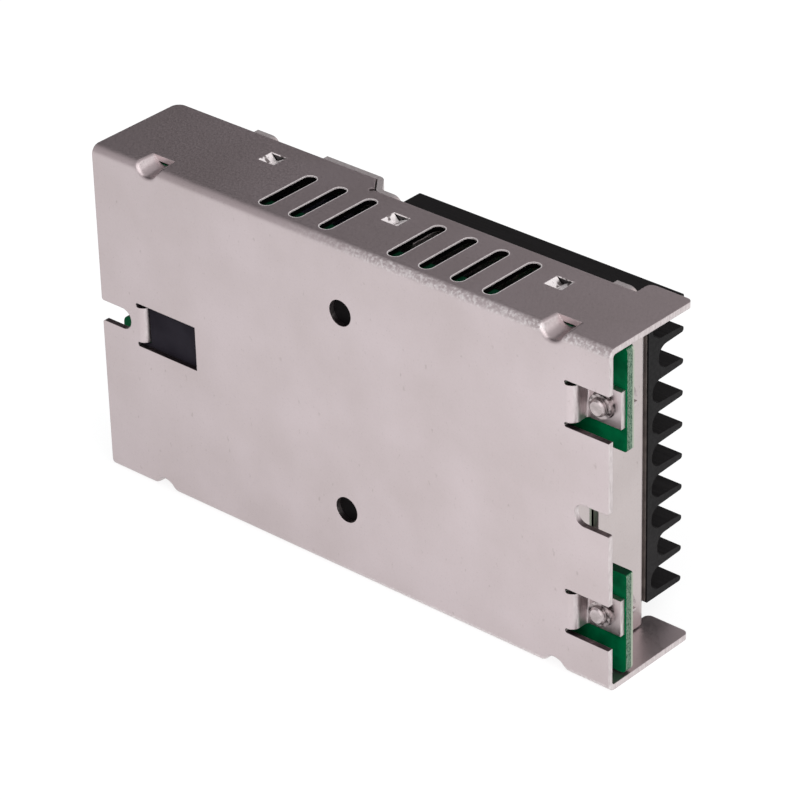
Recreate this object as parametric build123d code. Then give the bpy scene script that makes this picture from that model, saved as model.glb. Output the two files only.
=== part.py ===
from build123d import *
import os
from math import hypot

os.makedirs("parts", exist_ok=True)

# Axes: X runs along the case, Y from the mounting base to the fins, Z up, with the case on its side.
# All sizes in mm. Drawn from the outer base corner, then centred when it is written.

# Folded case
LENGTH = 106.5
WIDTH = 60.0
SHEET = 1.0
BEND_IN = 0.6
BEND_OUT = BEND_IN + SHEET
FLANGE_DEPTH = 20.0
RECESS = 3.25
RECESS_DEPTH = FLANGE_DEPTH - RECESS
EAR_LEN = 8.2
EAR_X = LENGTH - EAR_LEN
EAR_R = 1.1
CORNER_R = 1.6
GAP = 0.3
INNER_LOW = SHEET + GAP
INNER_HIGH = WIDTH - INNER_LOW
MID_Z = WIDTH / 2
MIRROR = Plane.XY.offset(MID_Z)

# Slanted step of the cover, and the rear edge of the flanges under it
STEP_X = 46.7
STEP_RUN = 2.5
STEP_SLANT = hypot(STEP_RUN, RECESS)
STEP_OFFSET = SHEET * (STEP_SLANT - STEP_RUN) / RECESS
RECESS_X = STEP_X - STEP_OFFSET - GAP * STEP_SLANT / RECESS
RELIEF_R = 0.5

# Openings in the case
SLOT_W = 3.8
SLOT_DEPTH = 6.6
SLOT_MOUTH_R = 0.4
HOLE_R = 2.25
HOLE_SPACING = 35.7
VENT_W = 2.4
VENT_Y = (2.2, 14.5)
VENT_PITCH = 6.35
VENT_STARTS = (35.3, 62.1)
VENT_COUNTS = (3, 4)

# Lances that catch the cover
LANCE_LEN = 3.4
LANCE_W = 3.2
LANCE_EDGE = 5.1
LANCE_DIP = 1.1
LANCE_VALLEY = 0.3
LANCE_SHEAR = 0.15

# Screw tabs stepped in from the base
TAB_W = 6.4
TAB_SLIT = 0.8
TAB_NOTCH_W = TAB_W + 2 * TAB_SLIT
TAB_IN = 0.4
TAB_OUT = TAB_IN + SHEET
END_TAB_LEN = 8.1
END_TAB_X = LENGTH - END_TAB_LEN
END_TAB_INSET = 11.7
END_TAB_Z = (END_TAB_INSET, WIDTH - END_TAB_INSET)
END_SCREW_REACH = 4.4
END_TAB_SCREW_X = END_TAB_X + END_SCREW_REACH
WINDOW_LOW = 8.3
WINDOW_LEN = 12.9
WINDOW_X = (WINDOW_LOW, WINDOW_LOW + WINDOW_LEN)
WINDOW_TAB_LEN = 9.8
WINDOW_TAB_END = WINDOW_LOW + WINDOW_TAB_LEN
WINDOW_SCREW_REACH = 5.2
WINDOW_SCREW_X = WINDOW_LOW + WINDOW_SCREW_REACH
COLLAR_R = 2.1
COLLAR_H = 1.0

# Circuit board
BOARD_T = 1.6
BOARD_Y = 4.35
BOARD_BACK = BOARD_Y + BOARD_T
BOARD_X0 = GAP
TAB_Y = BOARD_Y - SHEET
BOARD_EAR_TOP = 19.2
BOARD_NOTCH_W = 5.2
BOARD_NOTCH_X = 8.0
BOARD_MOUTH_R = 1.5

# Round dents across the bends, sheared at their inner end, whose ribs carry the edges of the board
DENT_START = 12.1
DENT_END = 10.9
DENT_X = (DENT_START, LENGTH - DENT_END)
DENT_R = 2.4
DENT_DROP = 1.35
DENT_FRONT_DROP = 1.9
DENT_RIM_R = 0.8

# Insulating film
FILM_T = 0.4
FILM_END = 0.9
FILM_X = (WINDOW_LOW - FILM_END, END_TAB_X - FILM_END)
FILM_EDGE = 1.8

# Cover with its stepped panel and end wall
COVER_X0 = 17.0
WALL_INSET = 6.8
WALL_X = LENGTH - WALL_INSET
COVER_TO_LANCE = 8.9
STEP_TO_LANCE = 8.2
LANCE_TO_WALL = 12.1
LANCE_X = (COVER_X0 + COVER_TO_LANCE, STEP_X + STEP_TO_LANCE, WALL_X - LANCE_TO_WALL)
BOARD_NECK_X = WALL_X - SHEET - GAP
TONGUE_GAP = 0.2
TONGUE_Z = (BOARD_EAR_TOP + TONGUE_GAP, WIDTH - BOARD_EAR_TOP - TONGUE_GAP)
WALL_LOW_Y = BOARD_BACK + 0.1
TONGUE_SLOT_Y = 3.9
TONGUE_SLOT_HALF = 6.0
FLAP_BEFORE = 3.6
FLAP_AFTER = 5.8
FLAP_BELOW = 2.6
FLAP_ROOT = 2.6
FLAP_SLIT = 0.4
REST_ROUND = 1.8
REST_TABS = ((COVER_X0, LANCE_X[0] - FLAP_BEFORE - FLAP_SLIT),
             (LANCE_X[0] + FLAP_AFTER + FLAP_SLIT, LANCE_X[1] - FLAP_BEFORE - FLAP_SLIT),
             (LANCE_X[2] + FLAP_AFTER + FLAP_SLIT, WALL_X - BEND_OUT))

# Heatsink
PAD_T = 0.25
PAD_INSET = 0.3
SINK_X = (STEP_X + GAP, WALL_X)
SINK_Y0 = RECESS_DEPTH + SHEET + PAD_T
SINK_H = 8.5
SINK_FLOOR = 1.0
SCREW_FLOOR = 2.5
FIN_COUNT = 10
FIN_PITCH = 5.61
FIN_TIP = 0.5
FIN_TAPER = 0.044
VALLEY_R = 1.9
FIN_TIP_R = 0.45
SCREW_VALLEYS = (1, FIN_COUNT - 3)
SINK_SHIFT = 0.4
SINK_MID_Z = MID_Z + SINK_SHIFT
FIRST_FIN_Z = SINK_MID_Z - FIN_PITCH * (FIN_COUNT - 1) / 2
LAST_FIN_Z = SINK_MID_Z + FIN_PITCH * (FIN_COUNT - 1) / 2
DEPTH = SINK_Y0 + SINK_H

# M3 screws
SCREW_R = 1.45
THREAD_HOLE_R = 1.5
CLEAR_R = 1.7
HEAD_R = 2.75
HEAD_H = 2.0
POINT_CHAMFER = 0.3
POINT_REACH = 0.8
BOARD_SCREW_LEN = BOARD_T + SHEET + COLLAR_H + POINT_REACH
DRIVE_W = 0.8
DRIVE_DEPTH = 0.9

# Power devices clamped under the cover
DEVICE_LEN = 15.9
DEVICE_W = 10.2
DEVICE_T = 4.6
DEVICE_TAB_T = 2.6
DEVICE_TAB_LEN = 6.6
DEVICE_HOLE = 3.3
DEVICE_BESIDE = 0.4
DEVICE_STEP_GAP = 6.9
DEVICE_WALL_GAP = 5.5
DEVICE_SCREW_X = (STEP_X + DEVICE_STEP_GAP, WALL_X - DEVICE_WALL_GAP)
THREAD_REACH = 1.7
DEVICE_SCREW_LEN = DEVICE_TAB_T + SHEET + PAD_T + THREAD_REACH
LEAD_PITCH = 2.54
LEAD_W = 0.8
LEAD_T = 0.5
LEAD_RUN = 3.0

# Transformer, with the power devices on both sides of it
CORE_X = (DEVICE_SCREW_X[0] + DEVICE_SCREW_X[1]) / 2
CORE_LEN = 25.0
DEVICE_Z = [FIRST_FIN_Z + (valley + 0.5) * FIN_PITCH for valley in SCREW_VALLEYS]
CORE_W = 2 * (MID_Z - DEVICE_Z[0] - DEVICE_W / 2 - DEVICE_BESIDE)
CORE_LEG = 3.0
CORE_MID_LEG = 9.0
CORE_STAND = 0.6
COIL_LEN = 16.6
COIL_TOP_GAP = 1.0
COIL_H = RECESS_DEPTH - BOARD_BACK - COIL_TOP_GAP
CORE_H = COIL_H - 2 * CORE_STAND
COIL_GAP = 0.35
COIL_WALL = CORE_STAND + 1.0
COIL_ROUND = 1.0
DEVICE_SPOTS = [(x, z) for x in DEVICE_SCREW_X for z in DEVICE_Z]

# Capacitors and chokes
CAP_R = 5.0
CAP_TOP_GAP = 1.55
CAP_H = FLANGE_DEPTH - BOARD_BACK - CAP_TOP_GAP
CAP_EDGE = 0.5
CAP_X = (23.4, 36.2)
CAP_INSET = 9.4
CAP_SPOTS = [(x, z) for x in CAP_X for z in (CAP_INSET, WIDTH - CAP_INSET)]
RING_X = sum(CAP_X) / 2
RING_OUT = 9.0
RING_IN = 4.6
RING_H = 7.0
RING_STAND = 1.0
RING_RIB = 1.2
RING_BASE = 1.4
RING_BASE_R = 2.0
CHOKE_GAP = 2.5
CHOKE_SIZE = 12.6
CHOKE_X = CORE_X - CORE_LEN / 2 - CHOKE_GAP - CHOKE_SIZE / 2
CHOKE_H = 6.6
CHOKE_CORNER = 1.0
CHOKE_EDGE = 0.4

# Small parts on the board
CHIP_AWAY = (-27.3, -14.5, -11.5, -5.3, -2.3, 3.9)
CHIP_X = [CORE_X + away for away in CHIP_AWAY]
CHIP_INSET = 4.4
CHIP_Z = WIDTH - CHIP_INSET
CHIP_W = 2.5
CHIP_H = 2.0
CHIP_LEN = 3.2
CHIP_END = 0.5
IC_W = 4.0
IC_H = 1.6
IC_LEN = 4.9
IC_APART = 8.6
IC_X = (CORE_X + CORE_LEN / 2 + WALL_X - SHEET) / 2
IC_SPOTS = ((IC_X, MID_Z - IC_APART / 2), (IC_X, MID_Z + IC_APART / 2),
            (CHOKE_X, MID_Z - (CHOKE_SIZE + IC_LEN) / 2 - SHEET))
IC_STAND = 0.2
IC_CHAMFER = 0.25
IC_PIN_PITCH = 1.27
IC_PINS = 4
IC_PIN_W = 0.4
IC_PIN_T = 0.2
IC_PIN_REACH = 1.0

# Terminal blocks
POLE_PITCH = 7.62
POLES = 3
BLOCK_LEN = POLES * POLE_PITCH
BLOCK_X = (0.8, 13.2)
BLOCK_TOP_GAP = 1.05
BLOCK_H = FLANGE_DEPTH - BOARD_BACK - BLOCK_TOP_GAP
BLOCK_SIDE = 1.0
BLOCK_Z = (INNER_LOW + BLOCK_SIDE, INNER_HIGH - BLOCK_SIDE - BLOCK_LEN)
BLOCK_TOP = BOARD_BACK + BLOCK_H
BLOCK_FACE = 5.5
BLOCK_SHOULDER = BLOCK_H - BLOCK_FACE
BLOCK_SLOPE = 2.0
BLOCK_ROUND = 0.5
POLE_Z = [[z0 + (index + 0.5) * POLE_PITCH for index in range(POLES)] for z0 in BLOCK_Z]
WELL_R = 2.3
WELL_X = 7.6
WELL_FLOOR = 1.8
ENTRY_W = 4.8
ENTRY_H = 3.6
ENTRY_UP = 3.2
ENTRY_LOW = BOARD_BACK + ENTRY_UP
ENTRY_TOP = ENTRY_LOW + ENTRY_H
WELL_SEAT = ENTRY_TOP + WELL_FLOOR
ENTRY_DEPTH = 9.6
CAGE_W = 4.2
CAGE_WALL = 0.6
CLAMP_HEAD_R = 1.95
CLAMP_HEAD_H = 2.0
CLAMP_SHANK_R = 1.45
CLAMP_CLEAR_R = CLAMP_SHANK_R + 0.15


def block(x, y, z):
    """Plain block between two limits on each axis."""
    size = [high - low for low, high in (x, y, z)]
    middle = [(high + low) / 2 for low, high in (x, y, z)]
    return Pos(*middle) * Box(*size)


def along_y(x, y, z, radius):
    """Round solid along Y between two limits."""
    low, high = y
    ends = (Align.CENTER, Align.CENTER, Align.MIN)
    return Pos(x, low, z) * Rot(-90, 0, 0) * Cylinder(radius, high - low, align=ends)


def outline(*corners):
    """Flat face through corners given as (across, up), with a third value where one is rounded."""
    face = make_face(Polyline(*[corner[:2] for corner in corners], close=True))
    for across, up, radius in [corner for corner in corners if len(corner) > 2]:
        nearest = face.vertices().sort_by_distance((across, up, 0))[0]
        face = fillet(nearest, radius)
    return face


def area(x, z, radius=0):
    """Rectangle drawn in X and Z, with rounded corners if a radius is given."""
    size = (x[1] - x[0], z[1] - z[0])
    shape = RectangleRounded(*size, radius) if radius else Rectangle(*size)
    return Pos((x[0] + x[1]) / 2, (z[0] + z[1]) / 2) * shape


def plate(face, y):
    """Flat piece parallel to the base, from a face drawn in X and Z."""
    low, high = y
    return extrude(Plane.XZ.offset(-high) * face, high - low)


def both_sides(tool):
    """The same tool on the upper and the lower flange."""
    return [tool, mirror(tool, MIRROR)]


def save(name, *pieces):
    """Centre a piece, or a group of like pieces, on the case and write it."""
    centre = Pos(-LENGTH / 2, -DEPTH / 2, 0)
    solids = [centre * solid for piece in pieces for solid in piece.solids()]
    export_step(Compound(solids, label=name), f"parts/{name}.step")


def folded_channel():
    """Base and two side flanges folded from one sheet, with ears and a recessed rear edge."""
    outer = block((0, LENGTH), (0, FLANGE_DEPTH), (0, WIDTH))
    outer = fillet(outer.edges().filter_by(Axis.X).group_by(Axis.Y)[0], BEND_OUT)
    inner = block((-SHEET, LENGTH + SHEET), (SHEET, FLANGE_DEPTH + SHEET), (SHEET, WIDTH - SHEET))
    inner = fillet(inner.edges().filter_by(Axis.X).group_by(Axis.Y)[0], BEND_IN)
    side = outline((0, 0), (LENGTH, 0), (LENGTH, FLANGE_DEPTH, EAR_R), (EAR_X, FLANGE_DEPTH, EAR_R),
                   (EAR_X, RECESS_DEPTH), (RECESS_X, RECESS_DEPTH),
                   (RECESS_X - STEP_RUN, FLANGE_DEPTH, BEND_IN), (0, FLANGE_DEPTH, CORNER_R))
    side -= Pos(RECESS_X - RELIEF_R, RECESS_DEPTH) * Circle(RELIEF_R)
    return (outer - inner) & extrude(side, WIDTH)


def screw_tab(root, end, z, screw_x):
    """Tab stepped in from the base to carry the board, with a drawn collar for the screw."""
    face = root + TAB_OUT
    back = face - SHEET
    top = TAB_Y + SHEET
    section = outline((root - SHEET, 0), (face, 0, TAB_OUT), (face, TAB_Y, TAB_IN), (end, TAB_Y), (end, top),
                      (back, top, TAB_OUT), (back, SHEET, TAB_IN), (root - SHEET, SHEET))
    tab = Pos(0, 0, z - TAB_W / 2) * extrude(section, TAB_W)
    collar = along_y(screw_x, (TAB_Y - COLLAR_H, TAB_Y), z, COLLAR_R)
    hole = along_y(screw_x, (0, top + GAP), z, THREAD_HOLE_R)
    return tab + collar - hole


def tab_clearance(x, z):
    """Opening that frees a tab, with a round relief at each end of its root."""
    low, high = z - TAB_NOTCH_W / 2, z + TAB_NOTCH_W / 2
    relief_r = TAB_SLIT / 2
    opening = plate(area(x, (low, high)), (-SHEET, 2 * SHEET))
    levels = (low + relief_r, high - relief_r)
    return [opening] + [along_y(x[0], (-SHEET, 2 * SHEET), level, relief_r) for level in levels]


def open_slot(edge_x, inward):
    """Mounting slot open at one end of the base, its mouth rounded."""
    half = SLOT_W / 2
    centre = edge_x + inward * (SLOT_DEPTH - half)
    outside = edge_x - inward * SHEET
    shape = area(sorted((outside, centre)), (MID_Z - half, MID_Z + half))
    shape += Pos(centre, MID_Z) * Circle(half)
    mouth = Pos(edge_x, MID_Z) * Rectangle(2 * SLOT_MOUTH_R, SLOT_W + 2 * SLOT_MOUTH_R)
    for side in (-1, 1):
        away = (edge_x + inward * SLOT_MOUTH_R, MID_Z + side * (half + SLOT_MOUTH_R))
        mouth -= Pos(*away) * Circle(SLOT_MOUTH_R)
    return plate(shape + mouth, (-SHEET, 2 * SHEET))


def vent_slots():
    """Rows of long vents across one flange."""
    middle = sum(VENT_Y) / 2
    shape = Rot(0, 0, 90) * SlotOverall(VENT_Y[1] - VENT_Y[0], VENT_W)
    tools = []
    for start, count in zip(VENT_STARTS, VENT_COUNTS):
        for index in range(count):
            spot = Pos(start + index * VENT_PITCH, middle, WIDTH - 2 * SHEET)
            tools.append(spot * extrude(shape, 3 * SHEET))
    return tools


def rear_edge(x):
    """Depth of the flange's rear edge at this place along the case."""
    return FLANGE_DEPTH if x < RECESS_X else RECESS_DEPTH


def lance_pocket(x):
    """Opening that the lanced bridge is sheared from."""
    y = rear_edge(x) - LANCE_EDGE
    return block((x - LANCE_LEN / 2, x + LANCE_LEN / 2), (y - LANCE_W / 2, y + LANCE_W / 2),
                 (WIDTH - 2 * SHEET, WIDTH + SHEET))


def lance_bridge(x):
    """Strip pressed inward to a V that catches the cover."""
    low, high = x - LANCE_LEN / 2, x + LANCE_LEN / 2
    valley = low + LANCE_VALLEY * LANCE_LEN
    section = outline((low, WIDTH), (valley, WIDTH - LANCE_DIP), (high, WIDTH), (high, WIDTH - SHEET),
                      (valley, WIDTH - LANCE_DIP - SHEET), (low, WIDTH - SHEET))
    y = rear_edge(x) - LANCE_EDGE
    half = LANCE_W / 2 - LANCE_SHEAR
    return plate(section, (y - half, y + half))


def dent(x, radius):
    """Round tool that crosses a bend aslant and ends at the board's face."""
    start = (x, BOARD_Y, WIDTH - DENT_DROP + DENT_R)
    way = (0, -BOARD_Y, DENT_DROP - DENT_FRONT_DROP)
    tool = Plane(origin=start, z_dir=way) * Cylinder(radius, 2 * WIDTH)
    wide = radius + SHEET
    return tool & block((x - wide, x + wide), (-wide, BOARD_Y), (WIDTH - wide, WIDTH + wide))


def dented_channel():
    """Folded channel with dents pressed into its bends, the ribs they raise inside, and rounded rims."""
    dents, ribs = [], []
    for x in DENT_X:
        dents += both_sides(dent(x, DENT_R))
        wide = DENT_R + 2 * SHEET
        inside = block((x - wide, x + wide), (SHEET, BOARD_Y), (MID_Z, WIDTH - SHEET))
        ribs += both_sides(dent(x, DENT_R + SHEET) & inside)
    body = folded_channel() + ribs - dents
    curved = [edge for edge in body.edges() if edge.geom_type in (GeomType.ELLIPSE, GeomType.BSPLINE)]
    half = SHEET / 2
    rims = [edge for edge in curved if edge.center().Y < half or abs(edge.center().Z - MID_Z) > MID_Z - half]
    return fillet(rims, DENT_RIM_R)


def base_openings():
    """Slots, window, tab notches and round holes through the base."""
    cuts = [open_slot(0, 1), open_slot(LENGTH, -1)]
    cuts += tab_clearance(WINDOW_X, MID_Z)
    for z in END_TAB_Z:
        cuts += tab_clearance((END_TAB_X, LENGTH + SHEET), z)
    for side in (-1, 1):
        cuts.append(along_y(LENGTH / 2, (-SHEET, 2 * SHEET), MID_Z + side * HOLE_SPACING / 2, HOLE_R))
    return cuts


def chassis():
    """Case sheet with every opening, tab, lance and dent."""
    upper = vent_slots() + [lance_pocket(x) for x in LANCE_X]
    side_cuts = [cut for tool in upper for cut in both_sides(tool)]
    body = dented_channel() - (base_openings() + side_cuts)
    pieces = [screw_tab(WINDOW_X[0], WINDOW_TAB_END, MID_Z, WINDOW_SCREW_X)]
    pieces += [screw_tab(END_TAB_X, LENGTH - GAP, z, END_TAB_SCREW_X) for z in END_TAB_Z]
    for x in LANCE_X:
        pieces += both_sides(lance_bridge(x))
    return body + pieces


def cover_profile():
    """Side view of the cover: rear panel, step down under the heatsink, and end wall."""
    high, low = FLANGE_DEPTH + SHEET, RECESS_DEPTH + SHEET
    under = STEP_X - STEP_OFFSET
    return outline((COVER_X0, high), (STEP_X - STEP_RUN, high, BEND_OUT), (STEP_X, low, BEND_IN),
                   (WALL_X, low, BEND_OUT), (WALL_X, SHEET), (WALL_X - SHEET, SHEET),
                   (WALL_X - SHEET, RECESS_DEPTH, BEND_IN),
                   (under, RECESS_DEPTH, BEND_OUT), (under - STEP_RUN, FLANGE_DEPTH, BEND_IN),
                   (COVER_X0, FLANGE_DEPTH))


def flap_range(x):
    """Where a locking flap lies along the case."""
    return (x - FLAP_BEFORE, x + FLAP_AFTER)


def cover_blank():
    """Plan view of the cover, with tabs that rest on the flanges and slits beside the flaps."""
    blank = area((COVER_X0, WALL_X), (INNER_LOW, INNER_HIGH))
    for low, high in REST_TABS:
        tab = area((low, high), (0, WIDTH))
        blank += fillet(tab.vertices().group_by(Axis.X)[-1], REST_ROUND)
    for x in LANCE_X:
        low, high = flap_range(x)
        notch = (low - FLAP_SLIT, high + FLAP_SLIT)
        blank -= area(notch, (INNER_HIGH - FLAP_ROOT, WIDTH + SHEET))
        blank -= area(notch, (-SHEET, INNER_LOW + FLAP_ROOT))
    return blank


def locking_flap(x):
    """Flap turned down inside the flange, with the window that the lance snaps into."""
    panel = rear_edge(x)
    root = INNER_HIGH - FLAP_ROOT - SHEET
    y_low = panel - LANCE_EDGE - FLAP_BELOW
    section = outline((panel + SHEET, root), (panel + SHEET, INNER_HIGH, BEND_OUT), (y_low, INNER_HIGH),
                      (y_low, INNER_HIGH - SHEET), (panel, INNER_HIGH - SHEET, BEND_IN), (panel, root))
    low, high = flap_range(x)
    flap = Pos(low, 0, 0) * extrude(Plane.YZ * section, high - low)
    half_x = LANCE_LEN / 2 + GAP
    half_y = LANCE_W / 2 + GAP
    y = panel - LANCE_EDGE
    window = block((x - half_x, x + half_x), (y - half_y, y + half_y), (root, WIDTH))
    return flap - window


def cover():
    """Cover sheet with locking flaps and the tongue that reaches the base between the board's ears."""
    sheet = extrude(cover_profile(), WIDTH) & plate(cover_blank(), (0, FLANGE_DEPTH + 2 * SHEET))
    flaps = [flap for x in LANCE_X for flap in both_sides(locking_flap(x))]
    wall = (WALL_X - 2 * SHEET, WALL_X + SHEET)
    slot_z = (MID_Z - TONGUE_SLOT_HALF, MID_Z + TONGUE_SLOT_HALF)
    cuts = [block(wall, (0, WALL_LOW_Y), (0, TONGUE_Z[0])),
            block(wall, (0, WALL_LOW_Y), (TONGUE_Z[1], WIDTH)),
            block(wall, (TONGUE_SLOT_Y, WALL_LOW_Y), slot_z)]
    for x, z in DEVICE_SPOTS:
        cuts.append(along_y(x, (RECESS_DEPTH - SHEET, RECESS_DEPTH + 2 * SHEET), z, CLEAR_R))
    return (sheet + flaps) - cuts


def fin_side(index, side):
    """Foot and tip of a fin on one side, down to the floor of the valley there."""
    valley = index if side > 0 else index - 1
    floor = SINK_Y0 + (SCREW_FLOOR if valley in SCREW_VALLEYS else SINK_FLOOR)
    z = FIRST_FIN_Z + index * FIN_PITCH
    foot = FIN_TIP + FIN_TAPER * (DEPTH - floor)
    return [(floor, z + side * foot, VALLEY_R), (DEPTH, z + side * FIN_TIP, FIN_TIP_R)]


def fin_profile():
    """End view of the heatsink: slim fins with rounded tips and round valleys, two of them shallow."""
    corners = [(SINK_Y0, FIRST_FIN_Z - FIN_TIP)]
    for index in range(FIN_COUNT):
        low, high = fin_side(index, -1), fin_side(index, 1)
        corners += (low[1:] if index == 0 else low) + (high[1:] if index == FIN_COUNT - 1 else high[::-1])
    corners.append((SINK_Y0, LAST_FIN_Z + FIN_TIP))
    return outline(*corners)


def heatsink():
    """Finned extrusion with blind threaded holes for the clamp screws."""
    sink = Pos(SINK_X[0], 0, 0) * extrude(Plane.YZ * fin_profile(), SINK_X[1] - SINK_X[0])
    reach = RECESS_DEPTH - DEVICE_TAB_T + DEVICE_SCREW_LEN + GAP
    return sink - [along_y(x, (0, reach), z, THREAD_HOLE_R) for x, z in DEVICE_SPOTS]


def thermal_pad():
    """Thin pad between cover and heatsink."""
    x = (SINK_X[0] + PAD_INSET, SINK_X[1] - PAD_INSET)
    z = (FIRST_FIN_Z - FIN_TIP + PAD_INSET, LAST_FIN_Z + FIN_TIP - PAD_INSET)
    pad = plate(area(x, z), (SINK_Y0 - PAD_T, SINK_Y0))
    return pad - [along_y(x, (0, SINK_Y0 + PAD_T), z, CLEAR_R) for x, z in DEVICE_SPOTS]


def board_screw_spots():
    """Places of the screws that hold the board to the tabs."""
    return [(WINDOW_SCREW_X, MID_Z)] + [(END_TAB_SCREW_X, z) for z in END_TAB_Z]


def corners_between(face, x, low, high):
    """Corners of a face on one line across the case, between two heights."""
    on_line = face.vertices().filter_by_position(Axis.X, x - GAP, x + GAP)
    return on_line.filter_by_position(Axis.Y, low - GAP, high + GAP)


def circuit_board():
    """Board with two ears at the plain end and a notch over the mounting slot."""
    half = BOARD_NOTCH_W / 2
    ear_low, ear_high = BOARD_EAR_TOP, WIDTH - BOARD_EAR_TOP
    shape = area((BOARD_X0, LENGTH), (INNER_LOW, INNER_HIGH), SHEET)
    shape -= area((BOARD_NECK_X, LENGTH + SHEET), (ear_low, ear_high))
    shape = fillet(corners_between(shape, LENGTH, ear_low, ear_high), SHEET / 2)
    shape -= area((BOARD_X0 - SHEET, BOARD_NOTCH_X - half), (MID_Z - half, MID_Z + half))
    shape -= Pos(BOARD_NOTCH_X - half, MID_Z) * Circle(half)
    shape = fillet(corners_between(shape, BOARD_X0, MID_Z - half, MID_Z + half), BOARD_MOUTH_R)
    for x, z in board_screw_spots():
        shape -= Pos(x, z) * Circle(CLEAR_R)
    return plate(shape, (BOARD_Y, BOARD_BACK))


def insulating_film():
    """Film lining the base under the board, cut back round the dents and the window tab."""
    film = area(FILM_X, (SHEET + FILM_EDGE, WIDTH - SHEET - FILM_EDGE))
    reach = DENT_FRONT_DROP + SHEET + GAP
    for x in DENT_X:
        span = (x - DENT_R - SHEET - GAP, x + DENT_R + SHEET + GAP)
        film -= area(span, (0, reach))
        film -= area(span, (WIDTH - reach, WIDTH))
    tab = (FILM_X[0] - SHEET, WINDOW_X[0] + TAB_OUT + GAP)
    film -= area(tab, (MID_Z - TAB_W / 2 - GAP, MID_Z + TAB_W / 2 + GAP))
    return plate(film, (SHEET, SHEET + FILM_T))


def screw(x, z, seat, length, inward):
    """Screw that seats at one level, its shank pointing along or against Y, with a slot in its head."""
    top, end = seat - inward * HEAD_H, seat + inward * length
    shank = along_y(x, sorted((seat, end)), z, SCREW_R)
    shank = chamfer(shank.edges().filter_by(GeomType.CIRCLE).sort_by_distance((x, end, z))[0], POINT_CHAMFER)
    bottom = sorted((top - inward, top + inward * DRIVE_DEPTH))
    slot = block((x - HEAD_R, x + HEAD_R), bottom, (z - DRIVE_W / 2, z + DRIVE_W / 2))
    return along_y(x, sorted((seat, top)), z, HEAD_R) + shank - slot


def board_screws():
    """Screws through the board into the tab collars."""
    return [screw(x, z, BOARD_BACK, BOARD_SCREW_LEN, -1) for x, z in board_screw_spots()]


def clamp_screws():
    """Screws that clamp each power device through the cover to the heatsink."""
    return [screw(x, z, RECESS_DEPTH - DEVICE_TAB_T, DEVICE_SCREW_LEN, 1) for x, z in DEVICE_SPOTS]


def device_direction(x):
    """Leads point to the transformer."""
    return 1 if x < CORE_X else -1


def power_device(x, z):
    """Fully moulded power device lying flat on the cover, thinner where the screw passes."""
    way = device_direction(x)
    start, end = x - way * DEVICE_HOLE, x + way * (DEVICE_LEN - DEVICE_HOLE)
    step = start + way * DEVICE_TAB_LEN
    thick, thin = RECESS_DEPTH - DEVICE_T, RECESS_DEPTH - DEVICE_TAB_T
    section = outline((start, RECESS_DEPTH), (end, RECESS_DEPTH), (end, thick), (step, thick), (step, thin),
                      (start, thin))
    body = Pos(0, 0, z - DEVICE_W / 2) * extrude(section, DEVICE_W)
    return body - along_y(x, (0, RECESS_DEPTH + SHEET), z, CLEAR_R)


def device_leads(x, z):
    """Three flat leads that leave a device and turn down to the board."""
    way = device_direction(x)
    end = x + way * (DEVICE_LEN - DEVICE_HOLE)
    level = RECESS_DEPTH - DEVICE_T / 2
    far = end + way * LEAD_RUN
    near = far - way * LEAD_T
    section = outline((end, level), (near, level), (far, level - LEAD_T), (far, BOARD_BACK),
                      (near, BOARD_BACK), (near, level - LEAD_T), (end, level - LEAD_T))
    places = [z + index * LEAD_PITCH - LEAD_W / 2 for index in (-1, 0, 1)]
    return [Pos(0, 0, place) * extrude(section, LEAD_W) for place in places]


def transformer_core():
    """Pair of ferrite E cores round the coil."""
    x = (CORE_X - CORE_LEN / 2, CORE_X + CORE_LEN / 2)
    half = CORE_W / 2
    low = BOARD_BACK + (COIL_H - CORE_H) / 2
    high = low + CORE_H
    core = plate(area(x, (MID_Z - half, MID_Z + half)), (low, high))
    window = (CORE_X - COIL_LEN / 2 - COIL_GAP, CORE_X + COIL_LEN / 2 + COIL_GAP)
    through = (low - SHEET, high + SHEET)
    cuts = []
    for side in (-1, 1):
        z = sorted((MID_Z + side * CORE_MID_LEG / 2, MID_Z + side * (half - CORE_LEG)))
        cuts.append(block(window, through, z))
    leg = (MID_Z - CORE_MID_LEG / 2, MID_Z + CORE_MID_LEG / 2)
    cuts.append(block(window, (through[0], BOARD_BACK + COIL_WALL), leg))
    cuts.append(block(window, (BOARD_BACK + COIL_H - COIL_WALL, through[1]), leg))
    return core - cuts


def transformer_coil():
    """Taped winding round the centre leg, standing on the board."""
    half = CORE_W / 2 - CORE_LEG - COIL_GAP
    x = (CORE_X - COIL_LEN / 2, CORE_X + COIL_LEN / 2)
    coil = block(x, (BOARD_BACK, BOARD_BACK + COIL_H), (MID_Z - half, MID_Z + half))
    coil = fillet(coil.edges().filter_by(Axis.X), COIL_ROUND)
    inner = CORE_MID_LEG / 2 + COIL_GAP
    wall = COIL_WALL - COIL_GAP
    bore = block((x[0] - SHEET, x[1] + SHEET), (BOARD_BACK + wall, BOARD_BACK + COIL_H - wall),
                 (MID_Z - inner, MID_Z + inner))
    return coil - bore


def capacitor(x, z):
    """Sleeved can of an electrolytic capacitor."""
    can = along_y(x, (BOARD_BACK, BOARD_BACK + CAP_H), z, CAP_R)
    return chamfer(can.edges().filter_by(GeomType.CIRCLE).sort_by(Axis.Y)[-1], CAP_EDGE)


def line_choke_core():
    """Ring core of the input filter choke."""
    low = BOARD_BACK + RING_BASE + RING_STAND
    core = along_y(RING_X, (low, low + RING_H), MID_Z, RING_OUT)
    return core - along_y(RING_X, (low - SHEET, low + RING_H + SHEET), MID_Z, RING_IN)


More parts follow.
